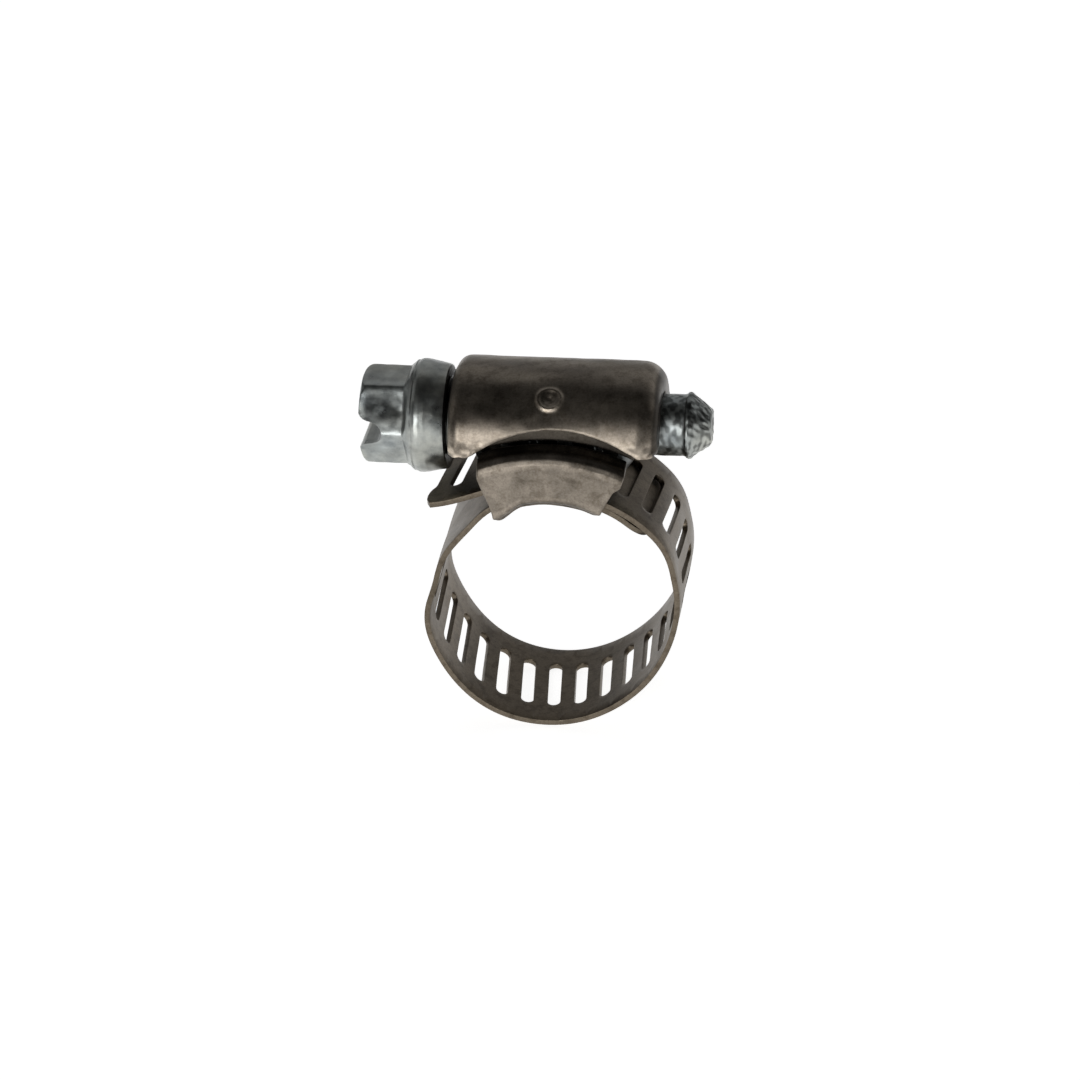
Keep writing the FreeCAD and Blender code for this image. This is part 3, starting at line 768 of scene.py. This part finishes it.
def make_saddle():
    low, high = box_mm("saddle")
    step = 0.085
    piece = field_object("saddle_cradle", low, high, step, saddle_distance)
    mark_points(piece, "tone", saddle_tone)
    return piece


# ---------------------------------------------------------------- materials


def new_material(name):
    material = bpy.data.materials.new(name)
    material.use_nodes = True
    tree = material.node_tree
    shader = tree.nodes["Principled BSDF"]
    return material, tree, shader


def noise_node(tree, vector, scale, detail=4.0, roughness=0.55):
    made = tree.nodes.new("ShaderNodeTexNoise")
    made.inputs["Scale"].default_value = scale
    made.inputs["Detail"].default_value = detail
    made.inputs["Roughness"].default_value = roughness
    tree.links.new(vector, made.inputs["Vector"])
    return made.outputs["Fac"]


def stretched(tree, vector, scale):
    made = tree.nodes.new("ShaderNodeMapping")
    made.inputs["Scale"].default_value = scale
    tree.links.new(vector, made.inputs["Vector"])
    return made.outputs["Vector"]


def ramp(tree, value, stops):
    made = tree.nodes.new("ShaderNodeValToRGB")
    elements = made.color_ramp.elements
    while len(elements) < len(stops):
        elements.new(0.5)
    for element, (place, colour) in zip(elements, stops):
        element.position = place
        element.color = (*colour, 1)
    tree.links.new(value, made.inputs["Fac"])
    return made.outputs["Color"]


def remap(tree, value, low, high, from_low=0.3, from_high=0.7):
    made = tree.nodes.new("ShaderNodeMapRange")
    made.inputs["From Min"].default_value = from_low
    made.inputs["From Max"].default_value = from_high
    made.inputs["To Min"].default_value = low
    made.inputs["To Max"].default_value = high
    tree.links.new(value, made.inputs["Value"])
    return made.outputs["Result"]


def multiplied(tree, colour, tint, factor):
    """Colour multiplied by a tint, as far as the factor says."""
    mix = tree.nodes.new("ShaderNodeMix")
    mix.data_type, mix.blend_type = "RGBA", "MULTIPLY"
    mix.inputs["Factor"].default_value = factor
    tree.links.new(colour, mix.inputs[6])
    tree.links.new(tint, mix.inputs[7])
    return mix.outputs[2]


def add_bumps(tree, shader, layers):
    """Stack of bump nodes; each layer is (height, strength, distance in metres)."""
    normal = None
    for height, strength, distance in layers:
        bump = tree.nodes.new("ShaderNodeBump")
        bump.inputs["Strength"].default_value = strength
        bump.inputs["Distance"].default_value = distance
        tree.links.new(height, bump.inputs["Height"])
        if normal is not None:
            tree.links.new(normal, bump.inputs["Normal"])
        normal = bump.outputs["Normal"]
    tree.links.new(normal, shader.inputs["Normal"])


def steel_material(name, dark, light, roughness, grain_scale, along_strip=False):
    """Satin stainless sheet: soft stains, rolled grain, fine speckle and hairline scratches."""
    material, tree, shader = new_material(name)
    shader.inputs["Metallic"].default_value = 1.0
    coordinates = tree.nodes.new("ShaderNodeTexCoord").outputs["Object"]
    grain_vector = stretched(tree, coordinates, grain_scale)
    if along_strip:
        uv = tree.nodes.new("ShaderNodeUVMap")
        uv.uv_map = "Strip"
        grain_vector = stretched(tree, uv.outputs["UV"], (12.0, 420.0, 1.0))
    stain = noise_node(tree, coordinates, scale=260.0, detail=5.0, roughness=0.6)
    speckle = noise_node(tree, coordinates, scale=5200.0, detail=3.0, roughness=0.7)
    grain = noise_node(tree, grain_vector, scale=1.0, detail=3.0, roughness=0.6)
    colour = ramp(tree, stain, [(0.3, dark), (0.7, light)])
    freckles = ramp(tree, speckle, [(0.35, (0.55, 0.53, 0.5)), (0.6, (1, 1, 1))])
    colour = multiplied(tree, colour, freckles, 0.5)
    smudge = noise_node(tree, coordinates, scale=1100.0, detail=4.0, roughness=0.65)
    grime = ramp(tree, smudge, [(0.36, (0.4, 0.37, 0.33)), (0.52, (1, 1, 1))])
    colour = multiplied(tree, colour, grime, 0.5)
    # the strip's own grain follows its UV map, and it has no tone attribute
    base_colour = colour if along_strip else toned(tree, colour)
    tree.links.new(base_colour, shader.inputs["Base Color"])
    tree.links.new(remap(tree, stain, roughness - 0.06, roughness + 0.1),
                   shader.inputs["Roughness"])
    add_bumps(tree, shader, [(grain, 0.25, 0.00002), (speckle, 0.2, 0.00001),
                             (stain, 0.15, 0.00004)])
    return material


def toned(tree, colour):
    """Colour scaled by the piece's tone attribute."""
    tone = tree.nodes.new("ShaderNodeAttribute")
    tone.attribute_name = "tone"
    scale = tree.nodes.new("ShaderNodeVectorMath")
    scale.operation = "SCALE"
    tree.links.new(colour, scale.inputs[0])
    tree.links.new(tone.outputs["Fac"], scale.inputs["Scale"])
    return scale.outputs["Vector"]


def zinc_material():
    """Bright zinc plate: cool mottled grey with a faint blue-green passivation and pits."""
    material, tree, shader = new_material("zinc_plate")
    shader.inputs["Metallic"].default_value = 1.0
    coordinates = tree.nodes.new("ShaderNodeTexCoord").outputs["Object"]
    mottle = noise_node(tree, coordinates, scale=620.0, detail=6.0, roughness=0.62)
    tint = noise_node(tree, coordinates, scale=180.0, detail=3.0, roughness=0.5)
    speckle = noise_node(tree, coordinates, scale=4200.0, detail=4.0, roughness=0.7)
    colour = ramp(tree, mottle, [(0.3, (0.22, 0.23, 0.23)), (0.7, (0.52, 0.53, 0.51))])
    passivation = ramp(tree, tint, [(0.35, (0.88, 0.95, 1.0)), (0.65, (1.0, 0.99, 0.92))])
    colour = toned(tree, multiplied(tree, colour, passivation, 0.8))
    tree.links.new(colour, shader.inputs["Base Color"])
    tree.links.new(remap(tree, mottle, 0.26, 0.44), shader.inputs["Roughness"])
    add_bumps(tree, shader, [(mottle, 0.35, 0.00006), (speckle, 0.3, 0.00002)])
    return material


def paint(piece, material):
    piece.data.materials.clear()
    piece.data.materials.append(material)


# ---------------------------------------------------------------- stage


def make_stage():
    """White floor under the clamp, one low front light, three large panels and a dim room."""
    floor_z = -11.75 * MM
    mesh = bpy.data.meshes.new("floor")
    size = 1.5
    mesh.from_pydata([(-size, -size, floor_z), (size, -size, floor_z), (size, size, floor_z),
                      (-size, size, floor_z)], [], [(0, 1, 2, 3)])
    floor = bpy.data.objects.new("floor", mesh)
    bpy.context.scene.collection.objects.link(floor)
    material, _, shader = new_material("floor_paint")
    shader.inputs["Base Color"].default_value = (0.93, 0.93, 0.93, 1)
    shader.inputs["Roughness"].default_value = 0.7
    shader.inputs["Emission Color"].default_value = (1, 1, 1, 1)
    shader.inputs["Emission Strength"].default_value = 0.86
    mesh.materials.append(material)

    world = bpy.data.worlds.new("room")
    bpy.context.scene.world = world
    world.use_nodes = True
    background = world.node_tree.nodes["Background"]
    background.inputs["Color"].default_value = (1.0, 0.98, 0.95, 1)
    background.inputs["Strength"].default_value = 0.03
    centre = (0, 0, 0.01)
    soft_box("front_light", (-0.12, -0.44, 0.10), centre, 0.19, 0.62)
    soft_box("back_light", (-0.05, 0.60, 0.36), centre, 0.95, 0.95)
    soft_box("left_light", (-0.60, 0.02, 0.30), centre, 0.50, 0.17)
    soft_box("right_light", (0.52, 0.34, 0.24), centre, 0.50, 0.36)


def soft_box(name, place, target, size, power):
    light = bpy.data.lights.new(name, "AREA")
    light.shape = "SQUARE"
    light.size = size
    light.energy = power
    lamp = bpy.data.objects.new(name, light)
    lamp.location = place
    lamp.rotation_mode = "QUATERNION"
    lamp.rotation_quaternion = (Vector(target) - Vector(place)).to_track_quat("-Z", "Y")
    bpy.context.scene.collection.objects.link(lamp)


def make_camera():
    """Camera a little to the right of square on, looking down at the clamp, rolled slightly."""
    azimuth, elevation, roll = map(math.radians, (8.444, 28.85, 1.55))
    distance, target = 0.3179, Vector((-0.00193, 0, 0.00401))
    back = Vector((math.sin(azimuth) * math.cos(elevation),
                   -math.cos(azimuth) * math.cos(elevation), math.sin(elevation)))
    camera = bpy.data.cameras.new("camera")
    camera.lens, camera.sensor_width = 116.67, 36
    camera.clip_start, camera.clip_end = 0.01, 5
    shot = bpy.data.objects.new("camera", camera)
    forward = -back
    right = forward.cross(Vector((0, 0, 1))).normalized()
    up = right.cross(forward)
    turned = Matrix.Rotation(roll, 3, forward)
    right, up = turned @ right, turned @ up
    shot.matrix_world = Matrix((
        (right.x, up.x, back.x, 0), (right.y, up.y, back.y, 0), (right.z, up.z, back.z, 0),
        (0, 0, 0, 1)))
    shot.location = target + back * distance
    bpy.context.scene.collection.objects.link(shot)
    bpy.context.scene.camera = shot
    bpy.context.scene.view_settings.view_transform = "Standard"


# ---------------------------------------------------------------- build


band_steel = steel_material("satin_band_steel", (0.125, 0.104, 0.079), (0.205, 0.172, 0.132), 0.40,
                            (300, 3000, 300), along_strip=True)
housing_steel = steel_material("satin_housing_steel", (0.20, 0.174, 0.143), (0.34, 0.298, 0.248),
                               0.40, (400, 2600, 2600))
zinc = zinc_material()

fixed_run, free_run = make_band()
paint(fixed_run, band_steel)
paint(free_run, band_steel)
screw = make_screw()
paint(screw, zinc)
housing = make_housing()
paint(housing, housing_steel)
saddle = make_saddle()
paint(saddle, housing_steel)

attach(fixed_run, "root")
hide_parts("band_loop")
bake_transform(free_run)
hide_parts("band_free_end")
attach(screw, "screw")
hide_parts("screw")
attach(housing, "root")
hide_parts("housing")
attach(saddle, "root")
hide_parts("saddle")

make_stage()
make_camera()
